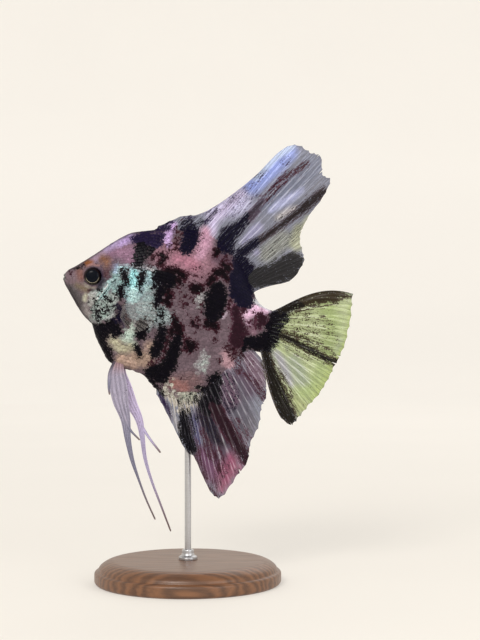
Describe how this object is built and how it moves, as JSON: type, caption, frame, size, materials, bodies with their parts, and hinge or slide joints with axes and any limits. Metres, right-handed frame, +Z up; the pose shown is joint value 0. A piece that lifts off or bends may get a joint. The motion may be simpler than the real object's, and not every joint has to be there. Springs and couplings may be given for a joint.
{
  "type": "marble angelfish on a display stand",
  "caption": "Life-size model of a living marble angelfish, nose a little up, fins spread and trailing pelvic feelers, held over a round wooden foot by one thin steel rod.",
  "frame": {"origin": "centre of the flat underside of the stand's round foot, on the axis of the rod", "axes": "+Z up, -X the way the fish's head points, -Y the fish's left side"},
  "size_m": [0.1113, 0.072, 0.169],
  "materials": {
    "skin": "moist scaled skin, marbled black over rose, mauve and silver",
    "eye": "wet, dark, with a thin gold ring",
    "dorsal_fin": "thin ray fin, lavender and grey with black bands",
    "anal_fin": "thin ray fin, grey and purple with a rose tip",
    "tail_fin": "thin ray fin, yellow-green with black bands",
    "pectoral_fin": "clear ray fin with pale rays",
    "pelvic_fin": "grey-lavender spine and long thread",
    "stand_wood": "dark walnut, satin lacquer",
    "stand_steel": "brushed, fine"
  },
  "bodies": {
    "root": {"head": "skin", "lower_jaw": "skin", "gill_cover_left": "skin", "gill_cover_right": "skin", "trunk": "skin", "tail_stalk": "skin", "eye_left": "eye", "eye_right": "eye", "dorsal_fin": "dorsal_fin", "anal_fin": "anal_fin", "tail_fin": "tail_fin", "pectoral_fin_left": "pectoral_fin", "pectoral_fin_right": "pectoral_fin", "pelvic_fin_left": "pelvic_fin", "pelvic_fin_right": "pelvic_fin", "stand_rod": "stand_steel", "stand_collar": "stand_steel", "stand_base": "stand_wood"}
  },
  "joints": []
}
